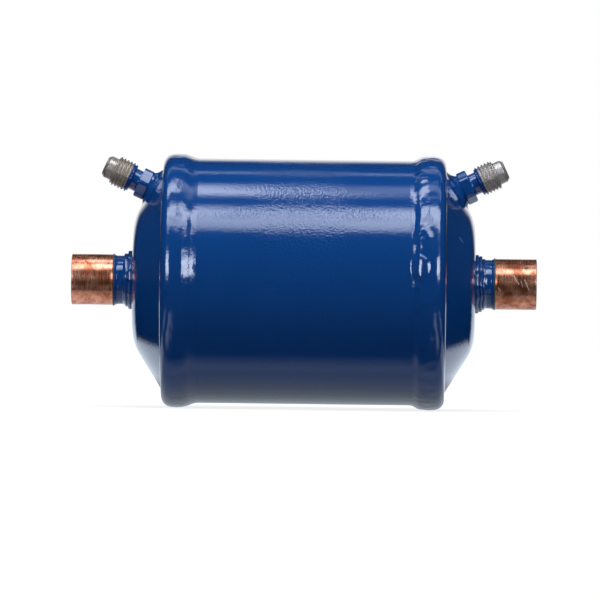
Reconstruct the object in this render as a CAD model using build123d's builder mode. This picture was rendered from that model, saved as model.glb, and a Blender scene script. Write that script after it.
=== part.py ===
"""A suction-line filter drier with solder ends and two access valves, in millimetres.

The drier lies along X: suction gas enters at the inlet end (-X) and leaves at the outlet end (+X).
+Z is up, on the side that carries the access valves. The origin is the middle of the shell, on its axis.
"""

from build123d import *
from math import cos, pi, radians, sin, tan
import os

os.makedirs("parts", exist_ok=True)

# Shell tube
SHELL_OD = 88.9
SHELL_WALL = 1.6
SHELL_LENGTH = 95.6

# End cap, pressed from one sheet: flat crown, conical flank, groove, shoulder and a skirt over the tube
CAP_WALL = 1.6
SKIRT_GAP = 0.1  # radial, between the skirt and the tube
SKIRT_LAP = 4.3  # length of tube inside the skirt
SHOULDER_RADIUS = 3.5
GROOVE_RADIUS = 2.0
GROOVE_DEPTH = 6.15  # from the skirt's outside down to the corner of flank and wall
CROWN_RISE = 10.8  # from the cap's outer wall to the crown
FLANK_ANGLE = 32.0  # between the flank and a plane square to the axis
CROWN_BLEND = 17.0  # radius between crown and flank

# Weld bead from the skirt's edge down to the tube
BEAD_WIDTH = 5.2
STOP_LUMPS = ((5.4, 8.5, 1.9), (3.5, 3.5, 1.7), (3.2, 13.5, 2.2))  # from the edge, degrees up, radius
STOP_SINK = 0.35  # how far the tops of the lumps lie below the skirt's outside

# Copper stub with a solder socket
SOCKET_BORE = 15.95  # takes a 5/8 in pipe
SOCKET_WALL = 1.2
SOCKET_DEPTH = 13.0
STUB_REACH = 22.3  # from the crown to the stub's mouth
SHOULDER_REACH = 7.2  # from the crown to the wide part of the stub
SHOULDER_SLOPE = 0.4
NECK_OD = 17.7
NECK_WALL = 1.5
STUB_TAIL = 1.5  # beyond the cap's inside
STUB_GAP = 0.05  # radial, in the crown's hole
MOUTH_BREAK = 0.2

# Braze ridges round the stub, from the crown outward: width and outside diameter
BRAZE_RIDGES = {
    "inlet": ((1.9, 21.2), (1.3, 19.2)),
    "outlet": ((1.5, 21.2), (1.2, 20.2), (1.0, 18.6)),
}
RIDGE_RISE = 0.22  # of a ridge's width

# Access valve body, turned from hexagon bar
VALVE_TILT = 25.2  # degrees above the drier's axis
VALVE_FROM_GROOVE = 6.6  # radially, from the groove's corner to the valve's axis on the flank
VALVE_STANDOFF = {"inlet": 1.75, "outlet": 1.9}  # from the flank to the hexagon
HEX_TURN = {"inlet": 0.0, "outlet": 30.0}  # degrees that a corner is turned from the drier's side
HEX_FLATS = 11.11
HEX_LENGTH = 3.7
HEX_CHAMFER = 0.7
SPIGOT_OD = 8.0
SPIGOT_LENGTH = 5.8
SPIGOT_GAP = 0.05
VALVE_NECK_OD = 8.0
VALVE_NECK_LENGTH = 2.7
THREAD_OD = 11.11  # 7/16-20 UNF flare thread
THREAD_LENGTH = 7.2
THREAD_CHAMFER = 0.55
NOSE_OD = 8.3
NOSE_LENGTH = 3.8
NOSE_CHAMFER = 1.0
MOUTH_BORE = 5.3
MOUTH_DEPTH = 5.6
SEAT_LENGTH = 1.2
VALVE_BORE = 4.2
THROAT_BORE = 3.0
THROAT_RISE = 1.0  # from the hexagon's rear face out to the throat

# Braze fillet round the valve's foot, from the hexagon's rear face down into the flank
FOOT_OD = 10.9
FOOT_FLARE = 0.2  # share of the flare at half the standoff
TOE_OD = {"inlet": 17.0, "outlet": 18.2}
TOE_SINK = 1.1  # below the flank

# Valve core inside the body
CORE_RECESS = 1.2  # from the valve's mouth down to the core's bridge
CORE_HEAD_LENGTH = 3.4
CORE_HEAD_GAP = 0.05
CORE_OD = 3.6
CORE_LENGTH = 10.8
CHAMBER_BORE = 2.9
LEDGE_BORE = 1.7
LEDGE_LENGTH = 2.4
BRIDGE_WIDTH = 1.9
BRIDGE_CUT = 2.0  # how far the sides of the bridge are cut down
BRIDGE_THICKNESS = 1.2
SEAL_GAP = 0.05
PIN_OD = 1.3
PIN_GAP = 0.1
TIP_RECESS = 0.2  # from the valve's mouth down to the pin's tip
COLLAR_OD = 2.6
COLLAR_LENGTH = 0.3
COLLAR_FREE = 0.3  # between the collar and the bridge
POPPET_OD = 3.3
POPPET_LENGTH = 1.1
CORE_GASKET_OD = 3.0
CORE_GASKET_LENGTH = 0.8
CORE_GASKET_GAP = 0.05  # radial, round the pin
CLOSING_GAP = 0.1  # between the gasket and the core it closes

# Springs
WIRE_SIDES = 8  # flats that stand for the round of a spring's wire
CORE_SPRING_OD = 2.5
CORE_SPRING_WIRE = 0.3
CORE_SPRING_TURNS = 4.0
CORE_SPRING_GAP = 0.05  # at each end
BLOCK_SPRING_OD = 31.0
BLOCK_SPRING_WIRE = 2.0
BLOCK_SPRING_TURNS = 2.5
BLOCK_SPRING_LENGTH = 15.0
BLOCK_SPRING_GAP = 0.05  # at each end

# Moulded desiccant block and what holds it
BLOCK_BORE = 20.0
SLEEVE_WALL = 1.5
SLEEVE_GAP = 0.1
GAS_GAP = 4.25  # radial, between the sleeve and the shell
SCREEN_WALL = 0.6
SCREEN_GAP = 0.15
SCREEN_HOLE = 8.0
SCREEN_ROWS = 4
SCREEN_HOLES_ROUND = 4
GUIDE_PLATE_THICKNESS = 1.2
GUIDE_PLATE_HOLE = 17.0
GUIDE_PLATE_GAP = 0.3
BLOCK_GASKET_THICKNESS = 2.0
PRESS_PLATE_THICKNESS = 1.0
PRESS_PLATE_RIM = 4.0
PRESS_PLATE_GAP = 0.2
PRESS_RIB_WIDTH = 1.5
PRESS_RIB_HEIGHT = 1.5

# Radii and places along the axis, from the middle of the drier
shell_bore_radius = SHELL_OD / 2 - SHELL_WALL
skirt_radius = SHELL_OD / 2 + SKIRT_GAP + CAP_WALL
wall_at = SHELL_LENGTH / 2 + SHOULDER_RADIUS
crown_at = wall_at + CROWN_RISE
skirt_edge_at = SHELL_LENGTH / 2 - SKIRT_LAP
toe_at = skirt_edge_at - BEAD_WIDTH
groove_corner = skirt_radius - GROOVE_DEPTH
crown_corner = groove_corner - CROWN_RISE / tan(radians(FLANK_ANGLE))
mouth_at = crown_at + STUB_REACH
shoulder_at = crown_at + SHOULDER_REACH
socket_radius = SOCKET_BORE / 2
stub_radius = socket_radius + SOCKET_WALL
neck_radius = NECK_OD / 2
neck_bore_radius = neck_radius - NECK_WALL

# Places along a valve, outward from the hexagon's rear face
thread_from = HEX_LENGTH + VALVE_NECK_LENGTH
nose_from = thread_from + THREAD_LENGTH
nose_end = nose_from + NOSE_LENGTH
seat_top = nose_end - MOUTH_DEPTH
seat_bottom = seat_top - SEAT_LENGTH
core_top = nose_end - CORE_RECESS
head_bottom = core_top - CORE_HEAD_LENGTH
core_bottom = core_top - CORE_LENGTH
chamber_top = core_top - BRIDGE_THICKNESS
chamber_bottom = core_bottom + LEDGE_LENGTH
collar_top = chamber_top - COLLAR_FREE
collar_bottom = collar_top - COLLAR_LENGTH
gasket_top = core_bottom - CLOSING_GAP
gasket_bottom = gasket_top - CORE_GASKET_LENGTH
poppet_bottom = gasket_bottom - POPPET_LENGTH
pin_tip = nose_end - TIP_RECESS

# The block runs from the gasket on the outlet side to the plate that the spring presses on
guide_plate_to = wall_at - CAP_WALL
guide_plate_from = guide_plate_to - GUIDE_PLATE_THICKNESS
block_to = guide_plate_from - BLOCK_GASKET_THICKNESS
spring_from = CAP_WALL - crown_at + BLOCK_SPRING_GAP
spring_to = spring_from + BLOCK_SPRING_LENGTH
press_plate_from = spring_to + BLOCK_SPRING_GAP
block_from = press_plate_from + PRESS_PLATE_THICKNESS
block_length = block_to - block_from
sleeve_radius = shell_bore_radius - GAS_GAP
sleeve_bore_radius = sleeve_radius - SLEEVE_WALL
block_radius = sleeve_bore_radius - SLEEVE_GAP
screen_radius = BLOCK_BORE / 2 - SCREEN_GAP


def save(piece, label):
    piece.part.label = label
    export_step(piece.part, f"parts/{label}.step")


with BuildPart() as shell_tube:
    with BuildSketch(Plane.YZ):
        Circle(SHELL_OD / 2)
        Circle(shell_bore_radius, mode=Mode.SUBTRACT)
    extrude(amount=SHELL_LENGTH / 2, both=True)
save(shell_tube, "shell_tube")

for end, side in (("inlet", -1), ("outlet", 1)):
    # Plane of this end's half-sections: its x runs outward along the drier, its y down, away from the valve
    section = Plane(origin=(0, 0, 0), x_dir=(side, 0, 0), z_dir=(0, side, 0))

    # Plane of the valve's half-sections: its x runs outward along the valve from the hexagon's rear face
    foot_at = wall_at + VALVE_FROM_GROOVE * tan(radians(FLANK_ANGLE))
    flank_foot = Vector(side * foot_at, 0, groove_corner - VALVE_FROM_GROOVE)
    outward = Vector(side * cos(radians(VALVE_TILT)), 0, sin(radians(VALVE_TILT)))
    hex_rear = flank_foot + outward * VALVE_STANDOFF[end]
    valve_section = Plane(origin=hex_rear, x_dir=outward, z_dir=(0, -side, 0))
    valve_axis = Axis(hex_rear, outward)
    hex_plane = Plane(origin=hex_rear, x_dir=(0, 1, 0), z_dir=outward)
    flank_normal = (side * cos(radians(FLANK_ANGLE)), 0, sin(radians(FLANK_ANGLE)))
    flank_plane = Plane(origin=flank_foot, x_dir=(0, 1, 0), z_dir=flank_normal)

    # Corners of the cap's outside, from the flank out to the skirt's edge
    outside = ((wall_at, groove_corner), (wall_at, skirt_radius), (skirt_edge_at, skirt_radius))

    with BuildPart() as cap:
        with BuildSketch(section):
            with BuildLine():
                FilletPolyline(
                    (crown_at, neck_radius + STUB_GAP),
                    (crown_at, crown_corner),
                    *outside,
                    radius=(CROWN_BLEND, GROOVE_RADIUS, SHOULDER_RADIUS),
                )
                offset(amount=CAP_WALL, side=Side.LEFT)
            make_face()
        revolve(axis=Axis.X)
        with BuildSketch(hex_plane):
            Circle(SPIGOT_OD / 2 + SPIGOT_GAP)
        extrude(amount=-SPIGOT_LENGTH, mode=Mode.SUBTRACT)
    save(cap, f"{end}_cap")

    # Everything inward of the shoulder, the groove and the flank, with the flank carried on to a point
    with BuildPart() as envelope:
        with BuildSketch(section):
            with BuildLine():
                apex_at = wall_at + groove_corner * tan(radians(FLANK_ANGLE))
                FilletPolyline((apex_at, 0), *outside, radius=(GROOVE_RADIUS, SHOULDER_RADIUS))
                Polyline(outside[-1], (skirt_edge_at, 0), (apex_at, 0))
            make_face()
        revolve(axis=Axis.X)

    with BuildPart() as cap_weld:
        with BuildSketch(section):
            with BuildLine():
                halfway = ((skirt_edge_at + toe_at) / 2, (skirt_radius + SHELL_OD / 2) / 2)
                crest = TangentArc((skirt_edge_at, skirt_radius), halfway, tangent=(-1, 0))
                TangentArc(halfway, (toe_at, SHELL_OD / 2), tangent=crest % 1)
                Polyline((toe_at, SHELL_OD / 2), (skirt_edge_at, SHELL_OD / 2), (skirt_edge_at, skirt_radius))
            make_face()
        revolve(axis=Axis.X)
        if end == "outlet":
            # Lumps where the weld was stopped, on the drier's -Y side
            for from_edge, angle, radius in STOP_LUMPS:
                lump_radius = skirt_radius - STOP_SINK - radius
                across = -lump_radius * cos(radians(angle))
                up = lump_radius * sin(radians(angle))
                with Locations((skirt_edge_at - from_edge, across, up)):
                    Sphere(radius, rotation=(0, 90, 0))
            with BuildSketch(Plane.YZ):
                Circle(SHELL_OD / 2)
            extrude(amount=SHELL_LENGTH / 2, mode=Mode.SUBTRACT)
    save(cap_weld, f"{end}_cap_weld")

    with BuildPart() as stub:
        with BuildSketch(section):
            with BuildLine():
                Polyline(
                    (crown_at - CAP_WALL - STUB_TAIL, neck_bore_radius),
                    (crown_at - CAP_WALL - STUB_TAIL, neck_radius),
                    (shoulder_at - SHOULDER_SLOPE, neck_radius),
                    (shoulder_at, stub_radius),
                    (mouth_at - MOUTH_BREAK, stub_radius),
                    (mouth_at, stub_radius - MOUTH_BREAK),
                    (mouth_at, socket_radius),
                    (mouth_at - SOCKET_DEPTH, socket_radius),
                    (mouth_at - SOCKET_DEPTH, neck_bore_radius),
                    close=True,
                )
            make_face()
        revolve(axis=Axis.X)
    save(stub, f"{end}_stub")

    with BuildPart() as stub_braze:
        with BuildSketch(section):
            with BuildLine():
                ridge_from = (crown_at, neck_radius)
                for width, ridge_od in BRAZE_RIDGES[end]:
                    ridge_base = ridge_od / 2 - RIDGE_RISE * width
                    ridge_start = (ridge_from[0], ridge_base)
                    ridge_top = (ridge_from[0] + width / 2, ridge_od / 2)
                    ridge_end = (ridge_from[0] + width, ridge_base)
                    Line(ridge_from, ridge_start)
                    ThreePointArc(ridge_start, ridge_top, ridge_end)
                    ridge_from = ridge_end
                Polyline(ridge_from, (ridge_from[0], neck_radius), (crown_at, neck_radius))
            make_face()
        revolve(axis=Axis.X)
    save(stub_braze, f"{end}_stub_braze")

    with BuildPart() as valve_body:
        with BuildSketch(hex_plane):
            RegularPolygon(HEX_FLATS / 2, 6, major_radius=False, rotation=HEX_TURN[end])
        extrude(amount=HEX_LENGTH)
        with BuildSketch(valve_section):
            with BuildLine():
                Polyline(
                    (0, 0),
                    (0, HEX_FLATS),
                    (HEX_LENGTH - HEX_CHAMFER, HEX_FLATS / 2 / cos(pi / 6)),
                    (HEX_LENGTH, HEX_FLATS / 2),
                    (HEX_LENGTH, 0),
                    close=True,
                )
            make_face()
        revolve(axis=valve_axis, mode=Mode.INTERSECT)
        with BuildSketch(hex_plane):
            Circle(SPIGOT_OD / 2)
        extrude(amount=-SPIGOT_LENGTH)
        with BuildSketch(valve_section):
            with BuildLine():
                Polyline(
                    (0, 0),
                    (0, VALVE_NECK_OD / 2),
                    (thread_from, VALVE_NECK_OD / 2),
                    (thread_from, THREAD_OD / 2 - THREAD_CHAMFER),
                    (thread_from + THREAD_CHAMFER, THREAD_OD / 2),
                    (nose_from - THREAD_CHAMFER, THREAD_OD / 2),
                    (nose_from, THREAD_OD / 2 - THREAD_CHAMFER),
                    (nose_from, NOSE_OD / 2),
                    (nose_end - NOSE_CHAMFER, NOSE_OD / 2),
                    (nose_end, NOSE_OD / 2 - NOSE_CHAMFER),
                    (nose_end, 0),
                    close=True,
                )
            make_face()
        revolve(axis=valve_axis)
        with BuildSketch(valve_section):
            with BuildLine():
                Polyline(
                    (-SPIGOT_LENGTH, 0),
                    (-SPIGOT_LENGTH, THROAT_BORE / 2),
                    (THROAT_RISE, THROAT_BORE / 2),
                    (THROAT_RISE, VALVE_BORE / 2),
                    (seat_bottom, VALVE_BORE / 2),
                    (seat_top, MOUTH_BORE / 2),
                    (nose_end, MOUTH_BORE / 2),
                    (nose_end, 0),
                    close=True,
                )
            make_face()
        revolve(axis=valve_axis, mode=Mode.SUBTRACT)
    save(valve_body, f"{end}_valve_body")

    with BuildPart() as valve_braze:
        with BuildSketch(hex_plane):
            Circle(FOOT_OD / 2)
        with BuildSketch(hex_plane.offset(-VALVE_STANDOFF[end] / 2)):
            Circle(FOOT_OD / 2 + FOOT_FLARE * (TOE_OD[end] - FOOT_OD) / 2)
        with BuildSketch(flank_plane.offset(-TOE_SINK)):
            Circle(TOE_OD[end] / 2)
        loft()
        with BuildSketch(hex_plane):
            Circle(SPIGOT_OD / 2)
        extrude(amount=-SPIGOT_LENGTH, mode=Mode.SUBTRACT)
        add(envelope.part, mode=Mode.SUBTRACT)
    save(valve_braze, f"{end}_valve_braze")

    with BuildPart() as core_barrel:
        with BuildSketch(valve_section):
            with BuildLine():
                Polyline(
                    (core_bottom, LEDGE_BORE / 2),
                    (core_bottom, CORE_OD / 2),
                    (head_bottom, CORE_OD / 2),
                    (head_bottom, MOUTH_BORE / 2 - CORE_HEAD_GAP),
                    (core_top, MOUTH_BORE / 2 - CORE_HEAD_GAP),
                    (core_top, PIN_OD / 2 + PIN_GAP),
                    (chamber_top, PIN_OD / 2 + PIN_GAP),
                    (chamber_top, CHAMBER_BORE / 2),
                    (chamber_bottom, CHAMBER_BORE / 2),
                    (chamber_bottom, LEDGE_BORE / 2),
                    close=True,
                )
            make_face()
        revolve(axis=valve_axis)
        # The sides of the head are cut down until the chamber opens beside the bridge
        with BuildSketch(hex_plane.offset(core_top)):
            Rectangle(MOUTH_BORE, MOUTH_BORE)
            Rectangle(MOUTH_BORE, BRIDGE_WIDTH, mode=Mode.SUBTRACT)
        extrude(amount=-BRIDGE_CUT, mode=Mode.SUBTRACT)
    save(core_barrel, f"{end}_core_barrel")

    with BuildPart() as core_seal:
        with BuildSketch(valve_section):
            with BuildLine():
                Polyline(
                    (seat_bottom, CORE_OD / 2 + SEAL_GAP),
                    (seat_bottom, VALVE_BORE / 2 - SEAL_GAP),
                    (seat_top, MOUTH_BORE / 2 - SEAL_GAP),
                    (head_bottom, MOUTH_BORE / 2 - SEAL_GAP),
                    (head_bottom, CORE_OD / 2 + SEAL_GAP),
                    close=True,
                )
            make_face()
        revolve(axis=valve_axis)
    save(core_seal, f"{end}_core_seal")

    with BuildPart() as core_spring:
        with BuildLine():
            coil_from = hex_rear + outward * (chamber_bottom + CORE_SPRING_GAP + CORE_SPRING_WIRE / 2)
            rise = collar_bottom - chamber_bottom - 2 * CORE_SPRING_GAP - CORE_SPRING_WIRE
            coil_radius = (CORE_SPRING_OD - CORE_SPRING_WIRE) / 2
            coil = Helix(rise / CORE_SPRING_TURNS, rise, coil_radius, center=coil_from, direction=outward)
        with BuildSketch(Plane(origin=coil @ 0, z_dir=coil % 0)):
            RegularPolygon(CORE_SPRING_WIRE / 2, WIRE_SIDES)
        sweep(path=coil, is_frenet=True)
    save(core_spring, f"{end}_core_spring")

    with BuildPart() as core_pin:
        with BuildSketch(valve_section):
            with BuildLine():
                Polyline(
                    (poppet_bottom, 0),
                    (poppet_bottom, POPPET_OD / 2),
                    (gasket_bottom, POPPET_OD / 2),
                    (gasket_bottom, PIN_OD / 2),
                    (collar_bottom, PIN_OD / 2),
                    (collar_bottom, COLLAR_OD / 2),
                    (collar_top, COLLAR_OD / 2),
                    (collar_top, PIN_OD / 2),
                    (pin_tip, PIN_OD / 2),
                    (pin_tip, 0),
                    close=True,
                )
            make_face()
        revolve(axis=valve_axis)
    save(core_pin, f"{end}_core_pin")

    with BuildPart() as core_gasket:
        with BuildSketch(hex_plane.offset(gasket_bottom)):
            Circle(CORE_GASKET_OD / 2)
            Circle(PIN_OD / 2 + CORE_GASKET_GAP, mode=Mode.SUBTRACT)
        extrude(amount=CORE_GASKET_LENGTH)
    save(core_gasket, f"{end}_core_gasket")

with BuildPart() as desiccant_block:
    with BuildSketch(Plane.YZ.offset(block_from)):
        Circle(block_radius)
        Circle(BLOCK_BORE / 2, mode=Mode.SUBTRACT)
    extrude(amount=block_length)
save(desiccant_block, "desiccant_block")

with BuildPart() as filter_sleeve:
    with BuildSketch(Plane.YZ.offset(block_from)):
        Circle(sleeve_radius)
        Circle(sleeve_bore_radius, mode=Mode.SUBTRACT)
    extrude(amount=block_length)
save(filter_sleeve, "filter_sleeve")

with BuildPart() as block_gasket:
    with BuildSketch(Plane.YZ.offset(block_to)):
        Circle(sleeve_radius)
        Circle(BLOCK_BORE / 2, mode=Mode.SUBTRACT)
    extrude(amount=BLOCK_GASKET_THICKNESS)
save(block_gasket, "block_gasket")

with BuildPart() as bore_screen:
    with BuildSketch(Plane.YZ.offset(block_from)):
        Circle(screen_radius)
        Circle(screen_radius - SCREEN_WALL, mode=Mode.SUBTRACT)
    extrude(amount=guide_plate_from - block_from)
    row_pitch = block_length / SCREEN_ROWS
    for row in range(SCREEN_ROWS):
        for turn in range(SCREEN_HOLES_ROUND // 2):
            angle = 360 / SCREEN_HOLES_ROUND * (turn + row % 2 / 2)
            hole_plane = Plane.XY.rotated((angle, 0, 0))
            with BuildSketch(hole_plane):
                with Locations((block_from + (row + 0.5) * row_pitch, 0)):
                    Circle(SCREEN_HOLE / 2)
            extrude(amount=BLOCK_BORE, both=True, mode=Mode.SUBTRACT)
save(bore_screen, "bore_screen")

with BuildPart() as guide_plate:
    with BuildSketch(Plane.YZ.offset(guide_plate_from)):
        Circle(shell_bore_radius - GUIDE_PLATE_GAP)
        Circle(GUIDE_PLATE_HOLE / 2, mode=Mode.SUBTRACT)
    extrude(amount=GUIDE_PLATE_THICKNESS)
save(guide_plate, "guide_plate")

with BuildPart() as press_plate:
    rim_bore = sleeve_radius + PRESS_PLATE_GAP
    with BuildSketch(Plane.YZ.offset(press_plate_from)):
        Circle(rim_bore + PRESS_PLATE_THICKNESS)
    extrude(amount=PRESS_PLATE_THICKNESS + PRESS_PLATE_RIM)
    with BuildSketch(Plane.YZ.offset(block_from)):
        Circle(rim_bore)
    extrude(amount=PRESS_PLATE_RIM, mode=Mode.SUBTRACT)
    # Rib that keeps the spring in the middle of the plate
    rib_bore = BLOCK_SPRING_OD / 2 + PRESS_PLATE_GAP
    with BuildSketch(Plane.YZ.offset(press_plate_from)):
        Circle(rib_bore + PRESS_RIB_WIDTH)
        Circle(rib_bore, mode=Mode.SUBTRACT)
    extrude(amount=-PRESS_RIB_HEIGHT)
save(press_plate, "press_plate")

with BuildPart() as block_spring:
    with BuildLine():
        coil_from = (spring_from + BLOCK_SPRING_WIRE / 2, 0, 0)
        rise = BLOCK_SPRING_LENGTH - BLOCK_SPRING_WIRE
        coil_radius = (BLOCK_SPRING_OD - BLOCK_SPRING_WIRE) / 2
        coil = Helix(rise / BLOCK_SPRING_TURNS, rise, coil_radius, center=coil_from, direction=(1, 0, 0))
    with BuildSketch(Plane(origin=coil @ 0, z_dir=coil % 0)):
        RegularPolygon(BLOCK_SPRING_WIRE / 2, WIRE_SIDES)
    sweep(path=coil, is_frenet=True)
save(block_spring, "block_spring")
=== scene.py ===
"""The looks of a suction-line filter drier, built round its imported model. Shapes are given in millimetres."""

from math import cos, pi, radians, sin

import bmesh
import bpy
import numpy as np
from mathutils import Matrix, Vector


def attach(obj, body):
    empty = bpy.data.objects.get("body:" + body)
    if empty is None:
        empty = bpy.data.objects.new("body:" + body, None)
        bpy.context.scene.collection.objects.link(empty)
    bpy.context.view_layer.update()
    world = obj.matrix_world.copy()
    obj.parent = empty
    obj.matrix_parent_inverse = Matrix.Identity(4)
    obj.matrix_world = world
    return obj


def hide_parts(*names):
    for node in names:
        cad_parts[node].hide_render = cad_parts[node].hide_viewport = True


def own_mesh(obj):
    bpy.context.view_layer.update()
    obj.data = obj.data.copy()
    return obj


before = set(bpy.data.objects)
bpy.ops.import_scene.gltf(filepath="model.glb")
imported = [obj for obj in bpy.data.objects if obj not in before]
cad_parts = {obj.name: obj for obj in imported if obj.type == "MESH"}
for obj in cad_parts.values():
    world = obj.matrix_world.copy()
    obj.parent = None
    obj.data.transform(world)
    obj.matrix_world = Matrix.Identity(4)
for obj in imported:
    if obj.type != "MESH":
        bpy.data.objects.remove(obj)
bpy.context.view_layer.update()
MM = 0.001
TURN = 2 * pi

# Sizes of the drier, from the middle of its axis outward to each end
SHELL_RADIUS = 44.45
SHELL_BORE_RADIUS = 42.85
SHELL_END = 47.8
CAP_WALL = 1.6
CROWN_AT = 62.1
CROWN_BLEND = 17.0
CROWN_BLEND_AT = (45.1, 17.84)
FLANK_ANGLE = 32.0
GROOVE_RADIUS = 2.0
GROOVE_AT = (53.3, 40.57)
SHOULDER_RADIUS = 3.5
SHOULDER_AT = (47.8, 42.65)
SKIRT_RADIUS = 46.15
SKIRT_EDGE = 43.5
BEAD_TOE = 38.3
BEAD_BEND = {"inlet": 0.3, "outlet": 0.8}  # 0 is a straight slope, 1 is level at both its ends
CAP_HOLE_RADIUS = 8.9
SKIRT_STEPS = 8
# Scratch on the front of the outlet cap: start (x, z), end (x, z) and half width
CAP_SCRATCH = ((56.0, 16.6), (57.2, 14.9), 0.14)

# Stubs
MOUTH_AT = 84.4
STUB_RADIUS = 9.175
NECK_RADIUS = 8.85
PAINT_LINE = 69.3
SOCKET_RADIUS = 7.975
SOCKET_END = 71.4
NECK_BORE_RADIUS = 7.35
STUB_TAIL = 59.0
# Scratches on the front of the outlet stub: start (x, z), end (x, z) and half width
STUB_SCRATCHES = (
    ((76.0, 3.1), (77.9, 0.0), 0.22),
    ((70.4, -1.2), (71.3, -2.4), 0.18),
    ((80.0, 1.7), (81.5, -2.0), 0.2),
    ((78.6, 1.2), (79.4, -1.0), 0.12),
)

# Valves, outward along each from the hexagon's rear face
VALVE_TILT = 25.2
VALVE_FOOT = (55.424, 33.4)
VALVE_STANDOFF = {"inlet": 1.75, "outlet": 1.9}
HEX_ACROSS = 11.11
HEX_TURNED_RADIUS = HEX_ACROSS / 2 / 0.893  # to its turned-down corners
HEX_LENGTH = 3.7
VALVE_NECK_RADIUS = 4.0
VALVE_PAINT_LINE = 8.3
THREAD_FROM = 6.4
THREAD_TO = 13.6
THREAD_RADIUS = 5.555
THREAD_PITCH = 1.27
NOSE_RADIUS = 4.15
NOSE_END = 17.4
SPIGOT_FROM = -5.8
SPIGOT_HOLE_RADIUS = 4.05
THROAT_RADIUS = 1.5
# Bore (along, radius) from the mouth inward
VALVE_BORE = ((11.8, 2.65), (10.6, 2.1), (1.0, 2.1), (1.0, THROAT_RADIUS), (SPIGOT_FROM, THROAT_RADIUS))
FILLET_TOP_RADIUS = 5.45
FILLET_REACH = {"inlet": 8.5, "outlet": 9.1}


# Shapes


def arc(centre, radius, start, end, steps):
    """Points (along, radius) of an arc between two angles in degrees, 0 pointing along the axis."""
    angles = np.radians(np.linspace(start, end, steps + 1))
    return [(centre[0] + radius * cos(a), centre[1] + radius * sin(a)) for a in angles]


def run(start, end, steps):
    """Points of a straight run, without its last one."""
    return [tuple(p) for p in np.linspace(start, end, steps + 1)[:-1]]


def rings(along, radius, angle):
    """Points round the x axis. Angles go up from the side that faces the camera."""
    along, radius, angle = np.broadcast_arrays(along, radius, angle)
    return np.stack([along, -radius * np.cos(angle), radius * np.sin(angle)], axis=-1)


def steps_round(count):
    """Angles of equal steps round a full turn, from the side that faces the camera."""
    return np.arange(count) * TURN / count


def uneven(seed, along, angle, reach, lengths, count=40):
    """Uneven height of about -1 to 1: waves of the given lengths in mm, round a surface of radius reach."""
    chance = np.random.default_rng(seed)
    height = np.zeros(np.broadcast(along, angle).shape)
    for _ in range(count):
        length = chance.uniform(*lengths)
        heading = chance.uniform(0, pi)
        turns = round(TURN * reach * sin(heading) / length)
        height += np.sin(TURN * along * cos(heading) / length + turns * angle + chance.uniform(0, TURN))
    return height / (count / 2) ** 0.5 / 2


def fade(value, low, high):
    """0 below low and 1 above high, smooth between them. Low may be the larger."""
    t = np.clip((value - low) / (high - low), 0, 1)
    return t * t * (3 - 2 * t)


def piece(name, points, finish, stands_for, body="vessel", tube=True, sharp=35):
    """A smooth mesh over rings of points in mm. A tube's last ring joins its first, a rod has flat ends."""
    rows, columns = points.shape[:2]
    at = np.arange(rows * columns).reshape(rows, columns)
    beside = np.roll(at, -1, axis=1)
    faces = np.stack([at, beside, np.roll(beside, -1, axis=0), np.roll(at, -1, axis=0)], axis=-1)
    faces = faces if tube else faces[:-1]
    flat = points.reshape(-1, 3)
    corners = flat[faces.reshape(-1, 4)]
    first, second = np.cross(corners[:, 0], corners[:, 1]), np.cross(corners[:, 0], corners[:, 2])
    volume = (first * corners[:, 2]).sum() + (second * corners[:, 3]).sum()
    polygons = faces.reshape(-1, 4).tolist()
    if not tube:
        polygons += [at[0][::-1].tolist(), at[-1].tolist()]
    if volume < 0:
        polygons = [polygon[::-1] for polygon in polygons]
    mesh = bpy.data.meshes.new(name)
    mesh.from_pydata((flat * MM).tolist(), [], polygons)
    mesh.shade_smooth()
    mesh.set_sharp_from_angle(angle=radians(sharp))
    mesh.materials.append(finish)
    made = bpy.data.objects.new(name, mesh)
    bpy.context.scene.collection.objects.link(made)
    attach(made, body)
    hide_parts(stands_for)
    return made


def valve_place(end):
    """The frame of a valve: its x axis runs outward along the valve from the hexagon's rear face."""
    side = -1 if end == "inlet" else 1
    outward = Vector((side * cos(radians(VALVE_TILT)), 0, sin(radians(VALVE_TILT))))
    across = Vector((0, 1, 0))
    up = outward.cross(across)
    rear = Vector((side * VALVE_FOOT[0], 0, VALVE_FOOT[1])) + VALVE_STANDOFF[end] * outward
    return Matrix.Translation(rear * MM) @ Matrix((outward, across, up)).transposed().to_4x4()


def bored(plate, place):
    """Cut the hole for a valve's spigot through a cap."""
    cutter_mesh = bpy.data.meshes.new("spigot_drill")
    drill = bmesh.new()
    reach = place @ Matrix.Translation((0.55 * SPIGOT_FROM * MM, 0, 0)) @ Matrix.Rotation(pi / 2, 4, "Y")
    bmesh.ops.create_cone(drill, cap_ends=True, segments=96, radius1=SPIGOT_HOLE_RADIUS * MM,
                          radius2=SPIGOT_HOLE_RADIUS * MM, depth=-1.1 * SPIGOT_FROM * MM, matrix=reach)
    drill.to_mesh(cutter_mesh)
    drill.free()
    cutter = bpy.data.objects.new("spigot_drill", cutter_mesh)
    bpy.context.scene.collection.objects.link(cutter)
    cut = plate.modifiers.new("spigot_hole", "BOOLEAN")
    cut.operation = "DIFFERENCE"
    cut.solver = "EXACT"
    cut.object = cutter
    holed = bpy.data.meshes.new_from_object(plate.evaluated_get(bpy.context.evaluated_depsgraph_get()))
    plate.modifiers.clear()
    plate.data = holed
    holed.shade_smooth()
    holed.set_sharp_from_angle(angle=radians(35))
    bpy.data.objects.remove(cutter)


# Materials


def linear(colour):
    """Linear colour of an sRGB hex value."""
    parts = [int(colour[i : i + 2], 16) / 255 for i in (1, 3, 5)]
    return (*[c / 12.92 if c <= 0.04045 else ((c + 0.055) / 1.055) ** 2.4 for c in parts], 1.0)


ENAMEL_BLUE = linear("#12539D")


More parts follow.
